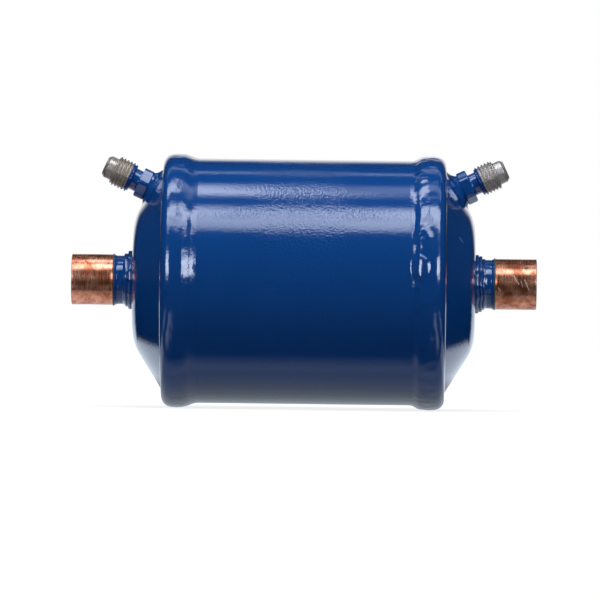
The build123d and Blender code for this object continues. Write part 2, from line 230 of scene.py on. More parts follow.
def per_metre(size):
    """Scale of a pattern whose marks are size mm across."""
    return 1 / (size * MM)


def node(tree, kind, settings=None, inputs=None):
    """Add a node, set its settings, and give its inputs their values or links."""
    made = tree.nodes.new("ShaderNode" + kind)
    for name, value in (settings or {}).items():
        setattr(made, name, value)
    for name, value in (inputs or {}).items():
        if isinstance(value, bpy.types.NodeSocket):
            tree.links.new(value, made.inputs[name])
        else:
            made.inputs[name].default_value = value
    return made


def new_finish(name):
    """An empty material, with its surface shader and the piece's own coordinates in metres."""
    made = bpy.data.materials.new(name)
    made.use_nodes = True
    tree = made.node_tree
    place = node(tree, "TexCoord").outputs["Object"]
    return made, tree, tree.nodes["Principled BSDF"], place


def blue_enamel(name, peel=0.00003, coarse=None, marks=()):
    """Gloss enamel, sprayed on steel and baked: deep blue under a clear hard gloss, with fine orange peel."""
    made, tree, shader, place = new_finish(name)
    # Cloudy film thickness, some 12 mm across, which deepens the blue a little
    cloud = node(tree, "TexNoise", inputs={"Vector": place, "Scale": per_metre(12), "Detail": 3.0})
    blue = tinted(tree, cloud.outputs["Fac"], linear("#104F97"), linear("#1455A0"))
    for mark in marks:
        blue = tinted(tree, scratch(tree, place, *mark), blue, linear("#8FA3C4"))
    tree.links.new(blue, shader.inputs["Base Color"])
    shader.inputs["Roughness"].default_value = 0.12
    shader.inputs["Coat Weight"].default_value = 1.0
    shader.inputs["Coat Roughness"].default_value = 0.03
    # Orange peel, 0.8 mm between its dimples, drawn at its real size
    fine = node(tree, "TexNoise", inputs={"Vector": place, "Scale": per_metre(0.8), "Detail": 1.0})
    height = fine.outputs["Fac"]
    if coarse:
        # Over one stretch of the front the spray ran drier, and the peel is rougher there
        inner, outer, factor = coarse
        spot = node(tree, "SeparateXYZ", inputs={"Vector": place})
        sideways = node(tree, "Math", {"operation": "ABSOLUTE"}, {0: spot.outputs["X"]})
        beside = node(tree, "MapRange", {"interpolation_type": "SMOOTHSTEP"}, {
            "Value": sideways.outputs[0], "From Min": outer * MM, "From Max": inner * MM})
        facing = node(tree, "MapRange", {"interpolation_type": "SMOOTHSTEP"}, {
            "Value": spot.outputs["Y"], "From Min": 0.0, "From Max": -0.012})
        rough = node(tree, "Math", {"operation": "MULTIPLY"}, {0: beside.outputs[0], 1: facing.outputs[0]})
        raised = node(tree, "Math", {"operation": "MULTIPLY_ADD"},
                      {0: rough.outputs[0], 1: factor - 1, 2: 1.0})
        height = node(tree, "Math", {"operation": "MULTIPLY"}, {0: height, 1: raised.outputs[0]}).outputs[0]
    bump = node(tree, "Bump", inputs={"Strength": 1.0, "Distance": peel, "Height": height})
    tree.links.new(bump.outputs[0], shader.inputs["Coat Normal"])
    tree.links.new(bump.outputs[0], shader.inputs["Normal"])
    return made


def scratch(tree, place, start, end, width):
    """1 on a scratch on the camera's side between two points (x, z) in mm, and 0 beside it."""
    start, end = (Vector((x * MM, 0, z * MM)) for x, z in (start, end))
    reach = end - start
    flat = node(tree, "VectorMath", {"operation": "MULTIPLY"}, {0: place, 1: (1, 0, 1)})
    offset = node(tree, "VectorMath", {"operation": "SUBTRACT"}, {0: flat.outputs[0], 1: start})
    share = node(tree, "VectorMath", {"operation": "DOT_PRODUCT"},
                 {0: offset.outputs[0], 1: reach / reach.length_squared})
    held = node(tree, "Clamp", inputs={"Value": share.outputs["Value"]})
    nearest = node(tree, "VectorMath", {"operation": "SCALE"}, {0: reach, "Scale": held.outputs[0]})
    away = node(tree, "VectorMath", {"operation": "DISTANCE"}, {0: offset.outputs[0], 1: nearest.outputs[0]})
    on_line = node(tree, "MapRange", inputs={
        "Value": away.outputs["Value"], "From Min": width * MM, "From Max": 0.4 * width * MM})
    behind = node(tree, "SeparateXYZ", inputs={"Vector": place}).outputs["Y"]
    in_front = node(tree, "Math", {"operation": "LESS_THAN"}, {0: behind, 1: 0.0})
    both = node(tree, "Math", {"operation": "MULTIPLY"}, {0: on_line.outputs[0], 1: in_front.outputs[0]})
    return both.outputs[0]


def painted_to(tree, place, line, beyond):
    """1 where enamel covers a piece, up to a wavy line across its axis, and 0 on the bare metal beyond it."""
    along = node(tree, "Math", {"operation": "ABSOLUTE"},
                 {0: node(tree, "SeparateXYZ", inputs={"Vector": place}).outputs["X"]})
    wave = node(tree, "TexNoise", inputs={"Vector": place, "Scale": per_metre(4), "Detail": 2.0})
    edge = node(tree, "Math", {"operation": "MULTIPLY_ADD"},
                {0: wave.outputs["Fac"], 1: beyond * MM, 2: along.outputs[0]})
    return node(tree, "MapRange", {"interpolation_type": "SMOOTHSTEP"},
                {"Value": edge.outputs[0], "From Min": (line + 0.12) * MM, "From Max": (line - 0.12) * MM,
                 "To Min": 0.0, "To Max": 1.0}).outputs[0]


def mixed(tree, share, bare, coat):
    """A value that goes from bare to coat with a share."""
    return node(tree, "Mix", {"data_type": "FLOAT"}, {0: share, 2: bare, 3: coat}).outputs[0]


def tinted(tree, share, bare, coat):
    """A colour that goes from bare to coat with a share."""
    return node(tree, "Mix", {"data_type": "RGBA"}, {0: share, 6: bare, 7: coat}).outputs[2]


def graded(tree, share, stops):
    """A brightness along a share from 0 to 1, straight between stops of (share, brightness)."""
    made = node(tree, "ValToRGB", inputs={0: share})
    elements = made.color_ramp.elements
    while len(elements) < len(stops):
        elements.new(0.5)
    for element, (at, brightness) in zip(elements, stops):
        element.position = at
        element.color = (brightness, brightness, brightness, 1)
    return made.outputs[0]


def drawn_copper(name, light, brown, stain, marks=()):
    """Drawn copper tube, brazed and left bare: warm metal, rings from a cleaning pad, brown heat tint."""
    made, tree, shader, place = new_finish(name)
    painted = painted_to(tree, place, PAINT_LINE, 0.8)
    # Brush rings round the tube: 0.5 mm apart so that they show, where the real ones are nearer 0.1 mm
    squeezed = node(tree, "Mapping", inputs={
        "Vector": place, "Scale": (per_metre(0.5), per_metre(9), per_metre(9))})
    rings_seen = node(tree, "TexNoise", inputs={"Vector": squeezed.outputs[0], "Scale": 1.0, "Detail": 4.0,
                                                "Roughness": 0.6})
    tint = node(tree, "TexNoise", inputs={
        "Vector": place, "Scale": per_metre(4), "Detail": 5.0, "Roughness": 0.6})
    spread = node(tree, "MapRange", inputs={"Value": tint.outputs["Fac"], "From Min": 0.42, "From Max": 0.6})
    metal = tinted(tree, spread.outputs[0], linear(light), linear(brown))
    spots = node(tree, "TexNoise", inputs={"Vector": place, "Scale": per_metre(1.6), "Detail": 3.0})
    dark = node(tree, "MapRange", inputs={"Value": spots.outputs["Fac"], "From Min": 0.58, "From Max": 0.72,
                                          "To Max": 0.6})
    metal = tinted(tree, dark.outputs[0], metal, linear(stain))
    # A dull grey-green rim of flux, where the enamel ends
    rim = painted_to(tree, place, PAINT_LINE + 0.5, 0.8)
    metal = tinted(tree, rim, metal, linear("#5C6A68"))
    # The torn copper of a fresh scratch scatters the light like a pale matt line
    matt = rim
    for mark in marks:
        torn = scratch(tree, place, *mark)
        metal = tinted(tree, torn, metal, linear("#FFE4D2"))
        matt = node(tree, "Math", {"operation": "MAXIMUM"}, {0: matt, 1: torn}).outputs[0]
    tree.links.new(tinted(tree, painted, metal, ENAMEL_BLUE), shader.inputs["Base Color"])
    # A thin dull oxide sends back a little of the light as a matt surface does
    tree.links.new(mixed(tree, matt, 0.88, 0.0), shader.inputs["Metallic"])
    worn = node(tree, "MapRange", inputs={
        "Value": rings_seen.outputs["Fac"], "From Min": 0.3, "From Max": 0.7, "To Min": 0.2, "To Max": 0.34})
    tree.links.new(mixed(tree, painted, worn.outputs[0], 0.15), shader.inputs["Roughness"])
    tree.links.new(painted, shader.inputs["Coat Weight"])
    shader.inputs["Coat Roughness"].default_value = 0.05
    height = mixed(tree, painted, rings_seen.outputs["Fac"], spots.outputs["Fac"])
    bump = node(tree, "Bump", inputs={"Strength": 1.0, "Distance": 0.00002, "Height": height})
    tree.links.new(bump.outputs[0], shader.inputs["Normal"])
    return made


def valve_steel(name, at, dark, light):
    """Turned steel, nickel plated: soft grey-beige with fine turning rings, under blue enamel at its foot."""
    made, tree, shader, place = new_finish(name)
    place = node(tree, "Mapping", {"vector_type": "TEXTURE"},
                 {"Vector": place, "Location": at.to_translation(), "Rotation": at.to_euler()}).outputs[0]
    painted = painted_to(tree, place, VALVE_PAINT_LINE, 0.9)
    # Turning marks, drawn 0.35 mm apart so that they show
    squeezed = node(tree, "Mapping", inputs={
        "Vector": place, "Scale": (per_metre(0.35), per_metre(6), per_metre(6))})
    turning = node(tree, "TexNoise", inputs={"Vector": squeezed.outputs[0], "Scale": 1.0, "Detail": 3.0})
    dull = node(tree, "TexNoise", inputs={"Vector": place, "Scale": per_metre(2.2), "Detail": 2.0})
    metal = tinted(tree, dull.outputs["Fac"], linear(dark), linear(light))
    tree.links.new(tinted(tree, painted, metal, ENAMEL_BLUE), shader.inputs["Base Color"])
    # Dull plating sends back part of the light as a matt surface does
    tree.links.new(mixed(tree, painted, 0.6, 0.0), shader.inputs["Metallic"])
    worn = node(tree, "MapRange", inputs={"Value": dull.outputs["Fac"], "From Min": 0.35, "From Max": 0.65,
                                          "To Min": 0.28, "To Max": 0.44})
    tree.links.new(mixed(tree, painted, worn.outputs[0], 0.15), shader.inputs["Roughness"])
    tree.links.new(painted, shader.inputs["Coat Weight"])
    shader.inputs["Coat Roughness"].default_value = 0.05
    bump = node(tree, "Bump", inputs={"Strength": 0.4, "Distance": 0.00001, "Height": turning.outputs["Fac"]})
    tree.links.new(bump.outputs[0], shader.inputs["Normal"])
    return made


def metal_finish(name, light, dark, roughness, grain, depth):
    """A bare metal of two close tones, with marks grain mm across and a bump of depth mm."""
    made, tree, shader, place = new_finish(name)
    marks = node(tree, "TexNoise", inputs={"Vector": place, "Scale": per_metre(grain), "Detail": 5.0})
    colour = tinted(tree, marks.outputs["Fac"], linear(light), linear(dark))
    tree.links.new(colour, shader.inputs["Base Color"])
    shader.inputs["Metallic"].default_value = 1.0
    shine = node(tree, "MapRange", inputs={"Value": marks.outputs["Fac"], "To Min": roughness - 0.08,
                                           "To Max": roughness + 0.08})
    tree.links.new(shine.outputs[0], shader.inputs["Roughness"])
    bump = node(tree, "Bump", inputs={
        "Strength": 1.0, "Distance": depth * MM, "Height": marks.outputs["Fac"]})
    tree.links.new(bump.outputs[0], shader.inputs["Normal"])
    return made


def soft_finish(name, light, dark, roughness, grain, depth, stretch=(1, 1, 1)):
    """A matt mineral, felt, rubber or plastic: two tones in grains of grain mm, with a bump of depth mm."""
    made, tree, shader, place = new_finish(name)
    pulled = node(tree, "Mapping", inputs={"Vector": place, "Scale": stretch})
    marks = node(tree, "TexNoise", inputs={
        "Vector": pulled.outputs[0], "Scale": per_metre(grain), "Detail": 6.0, "Roughness": 0.65})
    colour = tinted(tree, marks.outputs["Fac"], linear(light), linear(dark))
    tree.links.new(colour, shader.inputs["Base Color"])
    shader.inputs["Roughness"].default_value = roughness
    bump = node(tree, "Bump", inputs={
        "Strength": 1.0, "Distance": depth * MM, "Height": marks.outputs["Fac"]})
    tree.links.new(bump.outputs[0], shader.inputs["Normal"])
    return made


shell_enamel = blue_enamel("baked_blue_enamel_tube", coarse=(9, 22, 2.7))
cap_enamel = blue_enamel("baked_blue_enamel_cap", coarse=(47, 52, 1.3), marks=(CAP_SCRATCH,))
bead_enamel = blue_enamel("baked_blue_enamel_bead", peel=0.00004)
core_finishes = {
    "core_barrel": metal_finish("turned_brass", "#C9A65A", "#B48E45", 0.3, 0.8, 0.01),
    "core_seal": soft_finish("white_seal_plastic", "#E9E6DC", "#DCD8CC", 0.4, 0.5, 0.005),
    "core_pin": metal_finish("drawn_pin_steel", "#BDBAB4", "#A8A59E", 0.25, 0.6, 0.005),
    "core_gasket": soft_finish("moulded_black_rubber", "#1E1E1F", "#2A2A2B", 0.6, 0.5, 0.01),
}
spring_steel = metal_finish("drawn_spring_steel", "#8F8C86", "#77746E", 0.3, 0.8, 0.01)
plated_steel = metal_finish("zinc_plated_steel", "#C6C9CB", "#A9ADB1", 0.35, 3.0, 0.02)
inner_finishes = {
    "desiccant_block": soft_finish("moulded_desiccant_beads", "#DDD3BE", "#B8A98C", 0.9, 1.2, 0.25),
    "filter_sleeve": soft_finish(
        "pressed_polyester_felt", "#ECE8DC", "#D8D2C2", 0.95, 0.6, 0.15, (0.25, 1, 1)),
    "block_gasket": soft_finish("pressed_felt_ring", "#E2DCCB", "#C9C1AC", 0.95, 0.6, 0.15),
    "bore_screen": plated_steel,
    "guide_plate": plated_steel,
    "press_plate": plated_steel,
}

# The tube, with enamel over a wall that is true to within a few hundredths of a millimetre

tube_angles = steps_round(288)
tube_along = np.linspace(-SHELL_END, SHELL_END, 61)[:, None]
tube_outside = SHELL_RADIUS + 0.015 * uneven(3, tube_along, tube_angles, SHELL_RADIUS, (25, 60))
tube_points = np.concatenate([
    rings(tube_along, tube_outside, tube_angles),
    rings(tube_along[::-1], SHELL_BORE_RADIUS, tube_angles),
])
piece("shell_tube_enamelled", tube_points, shell_enamel, "shell_tube")

# The pressed caps


def cap_outside():
    """Outside of a cap from its hole out to the edge of its skirt."""
    return (
        run((CROWN_AT, CAP_HOLE_RADIUS), (CROWN_AT, CROWN_BLEND_AT[1]), 6)
        + arc(CROWN_BLEND_AT, CROWN_BLEND, 0, FLANK_ANGLE, 14)
        + arc(GROOVE_AT, GROOVE_RADIUS, 180 + FLANK_ANGLE, 180, 8)
        + arc(SHOULDER_AT, SHOULDER_RADIUS, 0, 90, 24)
        + run((47.3, SKIRT_RADIUS), (SKIRT_EDGE, SKIRT_RADIUS), SKIRT_STEPS)
        + [(SKIRT_EDGE, SKIRT_RADIUS)]
    )


def cap_inside():
    """Inside of a cap from the edge of its skirt back to its hole."""
    return (
        run((SKIRT_EDGE, SKIRT_RADIUS - CAP_WALL), (SHOULDER_AT[0], SKIRT_RADIUS - CAP_WALL), 3)
        + arc(SHOULDER_AT, SHOULDER_RADIUS - CAP_WALL, 90, 0, 10)
        + arc(GROOVE_AT, GROOVE_RADIUS + CAP_WALL, 180, 180 + FLANK_ANGLE, 8)
        + arc(CROWN_BLEND_AT, CROWN_BLEND - CAP_WALL, FLANK_ANGLE, 0, 14)
        + [(CROWN_AT - CAP_WALL, CAP_HOLE_RADIUS)]
    )


def flank_at(radius):
    """How far out the outside of a cap lies at a radius below the top of its shoulder."""
    outside = np.array(cap_outside()[: -(SKIRT_STEPS + 2)])
    return np.interp(radius, outside[:, 1], outside[:, 0])


def collar_fall(along):
    """How far a drawn collar, full in its middle only, has fallen from its full radius."""
    return 0.1 * ((np.minimum(along, 48.6) - 45.6) / 2.1) ** 2


def ripple(end, along, angle):
    """How far the weld's heat and its bead lift or sink the surface of the collar, in mm."""
    fine = uneven(11 if end == "inlet" else 23, along, angle, SKIRT_RADIUS, (3.0, 8.0))
    broad = uneven(12 if end == "inlet" else 24, along, angle, SKIRT_RADIUS, (8.0, 20.0))
    on_collar = fade(along, BEAD_TOE, BEAD_TOE + 2) * fade(along, 50.5, 46.0)
    rough = 0.035 if end == "inlet" else 0.08
    return on_collar * (rough * fine + 0.04 * broad - 0.08)


def held_in(radius, angle):
    """Radii cut back so that no lump stands out past the skirt, seen from the front, top, back or below."""
    nearest = np.maximum(np.abs(np.cos(angle)), np.abs(np.sin(angle)))
    return np.minimum(radius, (SKIRT_RADIUS - 0.02) / nearest)


def bead_stop(along, angle):
    """Height of what the arc left where it stopped, on the front of the outlet bead: a pool of metal, an
    arched ridge above it and two pits below."""
    def away(at, up):
        return along - at, (np.remainder(angle - radians(up) + pi, TURN) - pi) * SKIRT_RADIUS

    left, over = away(41.6, 7.2)
    pool = 0.42 * fade(np.hypot(left / 4.3, over / 5.2), 1.0, 0.62)
    left, over = away(42.4, 19.0)
    reach = np.hypot(left / 3.4, over / 5.0)
    arch = 0.3 * np.exp(-(((reach - 0.85) / 0.28) ** 2)) * fade(over, -3.0, 1.0)
    pits = 0
    for at, up in ((41.4, 0.4), (41.4, -3.9)):
        left, over = away(at, up)
        pits = pits + 0.18 * np.exp(-((left / 0.7) ** 2) - (over / 0.8) ** 2)
    return pool + arch - pits


round_angles = steps_round(432)
for end, side in (("inlet", -1), ("outlet", 1)):
    place = valve_place(end)

    # Cap, with the hole for its valve
    outside = np.array(cap_outside())
    along, radius = outside[:, 0][:, None], outside[:, 1][:, None]
    lift = (ripple(end, along, round_angles) - collar_fall(along)) * fade(radius, 42.6, 45.0)
    if end == "outlet":
        lift = lift + bead_stop(along, round_angles) * fade(radius, 45.5, 46.1)
    inside = np.array(cap_inside())
    points = np.concatenate([
        rings(side * along, held_in(radius + lift, round_angles), round_angles),
        rings(side * inside[:, 0][:, None], inside[:, 1][:, None], round_angles),
    ])
    cap = piece(f"{end}_cap_enamelled", points, cap_enamel, f"{end}_cap")
    bored(cap, place)

    # Weld bead, from the cap's edge down to the tube
    down = np.linspace(0, 1, 22)[:, None]
    along = SKIRT_EDGE + (BEAD_TOE - SKIRT_EDGE) * down
    high = SKIRT_RADIUS - collar_fall(SKIRT_EDGE)
    radius = high + (SHELL_RADIUS - high) * (down - BEAD_BEND[end] * np.sin(TURN * down) / TURN)
    underneath = np.array([[BEAD_TOE - 0.3], [BEAD_TOE], [SKIRT_EDGE]])
    lift = ripple(end, along, round_angles)
    if end == "outlet":
        lift = lift + bead_stop(along, round_angles) * fade(along, BEAD_TOE, BEAD_TOE + 1.5)
    points = np.concatenate([
        rings(side * along, held_in(radius + lift, round_angles), round_angles),
        rings(side * underneath, SHELL_RADIUS - 0.02, round_angles),
    ])
    piece(f"{end}_cap_weld_enamelled", points, bead_enamel, f"{end}_cap_weld")

    # Copper stub, with a lip of enamel where the paint line runs
    outside = np.array(
        run((STUB_TAIL, NECK_RADIUS), (68.0, NECK_RADIUS), 12)
        + run((68.0, NECK_RADIUS), (PAINT_LINE - 0.5, STUB_RADIUS + 0.1), 5)
        + arc((PAINT_LINE - 0.1, STUB_RADIUS + 0.12), 0.22, 180, 0, 8)
        + run((PAINT_LINE + 0.5, STUB_RADIUS), (MOUTH_AT - 0.25, STUB_RADIUS), 24)
        + arc((MOUTH_AT - 0.25, STUB_RADIUS - 0.25), 0.25, 90, 0, 4)
        + arc((MOUTH_AT - 0.2, SOCKET_RADIUS + 0.2), 0.2, 0, -90, 3)
        + run((MOUTH_AT - 0.3, SOCKET_RADIUS), (SOCKET_END, SOCKET_RADIUS), 10)
        + run((SOCKET_END, SOCKET_RADIUS), (SOCKET_END - 0.3, NECK_BORE_RADIUS), 2)
        + run((SOCKET_END - 0.3, NECK_BORE_RADIUS), (STUB_TAIL, NECK_BORE_RADIUS), 8)
        + [(STUB_TAIL, NECK_BORE_RADIUS)]
    )
    along, radius = outside[:, 0][:, None], outside[:, 1][:, None]
    stub_angles = steps_round(192)
    dents = 0.02 * uneven(31 + side, along, stub_angles, STUB_RADIUS, (4, 12)) * fade(radius, 8.3, 8.8)
    if end == "inlet":
        copper = drawn_copper("drawn_copper_inlet", "#F5A785", "#BF6F4C", "#5E2E1F")
    else:
        copper = drawn_copper("drawn_copper_outlet", "#E59C7B", "#A55F40", "#52281B", STUB_SCRATCHES)
    points = rings(side * along, radius + dents, stub_angles)
    piece(f"{end}_stub_copper", points, copper, f"{end}_stub")

    # Braze round the stub, in ridges that lap over each other
    ridges = {"inlet": ((1.9, 10.6), (1.3, 9.6)), "outlet": ((1.5, 10.6), (1.2, 10.1), (1.0, 9.3))}[end]
    section = [(CROWN_AT + 0.02, ridges[0][1] + 0.5)]
    start = CROWN_AT
    for width, reach in ridges:
        base = reach - 0.22 * width
        for t in np.linspace(0.08, 0.92, 9):
            section.append((start + t * width, base + 0.22 * width * sin(pi * t) ** 0.7))
        start += width
    section += [(start, ridges[-1][1] - 0.3), (start + 0.25, NECK_RADIUS + 0.1)]
    section += [(start + 0.6, NECK_RADIUS - 0.02)]
    section += [(start, NECK_RADIUS - 0.02), (CROWN_AT + 0.02, NECK_RADIUS - 0.02)]
    section = np.array(section)
    along, radius = section[:, 0][:, None], section[:, 1][:, None]
    proud = fade(radius, NECK_RADIUS, NECK_RADIUS + 0.5)
    lumps = uneven(41 + side, along, stub_angles, 10, (3, 9)) * 0.22 * proud
    slip = uneven(43 + side, along, stub_angles, 10, (6, 16)) * 0.25 * proud
    slip = slip * fade(along, CROWN_AT + 0.2, CROWN_AT + 1)
    points = rings(side * (along + slip), radius + lumps, stub_angles)
    piece(f"{end}_stub_braze_enamelled", points, bead_enamel, f"{end}_stub_braze")

    # Valve body, turned from hexagon bar, with a real thread
    valve_angles = steps_round(144)
    to_flat = np.remainder(valve_angles - (pi / 6 if end == "inlet" else 0) + pi / 6, pi / 3) - pi / 6
    across_flats = HEX_ACROSS / 2 / np.cos(to_flat)
    across_flats = 1 / (across_flats ** -28.0 + HEX_TURNED_RADIUS ** -28.0) ** (1 / 28)
    body_rows = [(SPIGOT_FROM, VALVE_NECK_RADIUS), (-0.3, VALVE_NECK_RADIUS), (0.0, VALVE_NECK_RADIUS)]
    body_rows += [(0.0, across_flats - 0.35), (0.1, across_flats - 0.12), (0.3, across_flats)]
    for s in np.linspace(0.8, 2.9, 5):
        body_rows.append((s, across_flats))
    corner = HEX_ACROSS / 2 / cos(pi / 6)
    for s in np.linspace(3.0, HEX_LENGTH - 0.05, 8):
        body_rows.append((s, np.minimum(across_flats, corner - 0.95 * (s - 2.95))))
    body_rows += [(HEX_LENGTH, np.minimum(across_flats, corner - 0.8) - 0.2)]
    body_rows += [(HEX_LENGTH, VALVE_NECK_RADIUS + 0.45)]
    for s, r in arc((HEX_LENGTH + 0.45, VALVE_NECK_RADIUS + 0.45), 0.45, 180, 270, 5)[1:]:
        body_rows.append((s, r))
    body_rows += [(5.2, VALVE_NECK_RADIUS), (6.2, VALVE_NECK_RADIUS + 0.05), (THREAD_FROM - 0.1, 4.4)]
    depth = 0.54 * THREAD_PITCH
    for s in np.arange(THREAD_FROM, THREAD_TO + 0.001, 0.05):
        groove = THREAD_RADIUS - depth * (0.5 - 0.5 * np.cos(TURN * s / THREAD_PITCH + valve_angles)) ** 0.8
        limit = THREAD_RADIUS - 0.75 * max(0.0, THREAD_FROM + 0.6 - s, s - (THREAD_TO - 0.6)) / 0.6
        body_rows.append((s, np.minimum(groove, limit)))
    body_rows += [(THREAD_TO + 0.05, NOSE_RADIUS + 0.25), (THREAD_TO + 0.3, NOSE_RADIUS)]
    body_rows += run((THREAD_TO + 0.8, NOSE_RADIUS), (NOSE_END - 1.15, NOSE_RADIUS), 4)
    body_rows += arc((NOSE_END - 1.25, NOSE_RADIUS - 0.35), 0.35, 90, 45, 4)
    body_rows += arc((NOSE_END - 0.25, NOSE_RADIUS - 1.0), 0.25, 45, 0, 3)
    body_rows += arc((NOSE_END - 0.15, 2.8), 0.15, 0, -90, 3)
    body_rows += VALVE_BORE
    along = np.array([row[0] for row in body_rows])[:, None]
    radius = np.array([np.broadcast_to(row[1], valve_angles.shape) for row in body_rows])
    outward, across, upward, rear = (np.array(place.col[i].xyz) for i in range(4))
    rear /= MM
    points = rings(along, radius, valve_angles) @ np.array([outward, across, upward]) + rear
    tones = {"inlet": ("#B3A595", "#D8CCBC"), "outlet": ("#BEB4AA", "#E0D8CF")}[end]
    plated = valve_steel(f"plated_steel_{end}_valve", place, *tones)
    piece(f"{end}_valve_body_plated", points, plated, f"{end}_valve_body", sharp=28)

    # Braze fillet round the valve's foot, laid on the cap's flank
    normal = np.array([side * cos(radians(FLANK_ANGLE)), 0, sin(radians(FLANK_ANGLE))])
    slope = upward - normal * (upward @ normal)
    slope /= np.linalg.norm(slope)
    spread_y, spread_z = -np.cos(valve_angles)[:, None], np.sin(valve_angles)[:, None]
    turning = spread_y * across + spread_z * upward
    laid = spread_y * across + spread_z * slope
    foot = rear - outward * VALVE_STANDOFF[end]
    reach = FILLET_REACH[end] * (1 + 0.05 * uneven(51 + side, 0.0, valve_angles, 8.5, (9, 22)))

    def on_cap(points, sink=0.0):
        """The same points moved along the axis on to the outside of the cap."""
        moved = points.copy()
        moved[:, 0] = side * (flank_at(np.hypot(points[:, 1], points[:, 2])) - sink)
        return moved

    top = rear + FILLET_TOP_RADIUS * turning
    toe = on_cap(foot + reach[:, None] * laid, 0.05)
    under_top = on_cap(foot + 5.9 * laid, 0.0)
    bend = 0.45 * (top + toe) / 2 + 0.55 * under_top
    rows = [top]
    for t in np.linspace(0, 1, 15)[1:]:
        row = (1 - t) ** 2 * top + 2 * t * (1 - t) * bend + t * t * toe
        swell = 0.12 * sin(pi * t) * uneven(61 + side, 9.0 * t, valve_angles, 7, (5, 12))
        rows.append(row + swell[:, None] * turning)
    rows += [on_cap(foot + SPIGOT_HOLE_RADIUS * laid, 0.05), rear + 4.02 * turning]
    points = np.array(rows)
    piece(f"{end}_valve_braze_enamelled", points, bead_enamel, f"{end}_valve_braze")


# Springs, wound from round wire


def coil(name, centre, heading, radius, wire, turns, length, finish, stands_for):
    """A spring from centre along heading, with its coil radius, wire diameter, turns and length."""
    heading = np.array(heading) / np.linalg.norm(heading)
    across = np.array([0.0, 1.0, 0.0])
    third = np.cross(heading, across)
    winding = np.linspace(0, TURN * turns, int(turns * 40) + 1)
    rows = []
    for turn in winding:
        outward = cos(turn) * across + sin(turn) * third
        climbed = wire / 2 + (length - wire) * turn / winding[-1]
        middle = np.array(centre) + radius * outward + heading * climbed
        ring = steps_round(16)[:, None]
        rows.append(middle + wire / 2 * (np.cos(ring) * outward + np.sin(ring) * heading))
    return piece(name, np.array(rows), finish, stands_for, tube=False)


coil("block_spring_wound", centre=(-60.45, 0, 0), heading=(1, 0, 0), radius=14.5, wire=2.0, turns=2.5,
     length=15.0, finish=spring_steel, stands_for="block_spring")
for end in ("inlet", "outlet"):
    place = valve_place(end)
    outward = np.array(place.col[0].xyz)
    rear = np.array(place.col[3].xyz) / MM
    spring = coil(f"{end}_core_spring_wound", centre=rear + 7.85 * outward, heading=outward, radius=1.1,
                  wire=0.3, turns=4.0, length=6.5, finish=spring_steel,
                  stands_for=f"{end}_core_spring")
    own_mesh(spring)

# Pieces whose solids are right as they are

for end in ("inlet", "outlet"):
    for part, finish in core_finishes.items():
        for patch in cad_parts[f"{end}_{part}"].material_slots:
            patch.material = finish
for part, finish in inner_finishes.items():
    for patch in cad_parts[part].material_slots:
        patch.material = finish

# Studio

# Where the tube mirrors a panel, in metres from the panel's middle: the end of its left share, the two ends of
# its middle share, and the start of its right share
MIRRORED_AT = (-0.052, -0.026, -0.002, 0.018)


def softbox(name, elevation, tall, wide, brightness, rows=(1, 1), columns=(1, 1, 1), azimuth=0.0):
    """A lamp panel 1.2 m away. Its elevation goes from the camera's side, 0, over the top, 90, to the back,
    and its azimuth to the right. Rows are shares of its brightness from its lower to its upper edge, and
    columns are shares for the left, middle and right of the stretch that the tube mirrors."""
    distance = 1.2
    lamp = bpy.data.lights.new(name, "AREA")
    lamp.shape = "RECTANGLE"
    lamp.size = wide
    lamp.size_y = 2 * distance * np.tan(radians(tall / 2))
    lamp.energy = brightness * pi * lamp.size * lamp.size_y
    lamp.color = linear("#E4EDFC")[:3]
    lamp.use_nodes = True
    tree = lamp.node_tree
    spot = node(tree, "SeparateXYZ", inputs={"Vector": node(tree, "NewGeometry").outputs["Parametric"]})
    left, middle, right = columns
    # The shares are halved to stay under 1, where a ramp ends, and the strength makes up for it
    across_shares = zip(MIRRORED_AT, (left, middle, middle, right))
    across_stops = [(0.5 + at / wide, share / 2) for at, share in across_shares]
    upward_stops = [(at, share / 2) for at, share in zip(np.linspace(0, 1, len(rows)), rows)]
    shares = [graded(tree, spot.outputs["X"], across_stops), graded(tree, spot.outputs["Y"], upward_stops)]
    both = node(tree, "Math", {"operation": "MULTIPLY"}, {0: shares[0], 1: shares[1]})
    strength = node(tree, "Math", {"operation": "MULTIPLY"}, {0: both.outputs[0], 1: 4.0})
    tree.links.new(strength.outputs[0], tree.nodes["Emission"].inputs["Strength"])
    made = bpy.data.objects.new(name, lamp)
    bpy.context.scene.collection.objects.link(made)
    up, turned = radians(elevation), radians(azimuth)
    outward = Vector((sin(turned) * cos(up), -cos(turned) * cos(up), sin(up)))
    across = Vector((cos(turned), sin(turned), 0))
    made.matrix_world = Matrix.Translation(distance * outward) @ Matrix(
        (across, outward.cross(across), outward)
    ).transposed().to_4x4()
    return made


softbox("front_panel_low", 52.6, 13.2, 1.5, 4.4, (0.0, 0.55, 0.8, 0.9, 1.0), (0.95, 1.15, 1.15))
softbox("front_panel_high", 69.5, 20.6, 1.5, 4.4, (1.0, 1.3, 1.35, 0.8, 0.0, 0.0), (1.0, 0.06, 1.0))
softbox("top_panel_low", 86.5, 13.0, 1.5, 4.4, (0.0, 0.0, 0.5, 1.15, 1.05), (1.0, 0.8, 0.14))
softbox("top_panel_high", 98.5, 11.0, 1.5, 4.4, (1.05, 0.95, 0.8, 0.35, 0.0), (1.0, 0.12, 0.3))
softbox("rear_strip", 121.6, 3.6, 1.5, 0.95)
for name, azimuth in (("left_panel", -30), ("right_panel", 30)):
    panel = softbox(name, 14.0, 25.0, 0.46, 8.5, (0.2, 0.8, 1.0, 0.9, 0.5, 0.0), azimuth=azimuth)
    # These two only draw the highlights on collars and metal, and leave the level of the light as it is
    panel.visible_diffuse = False

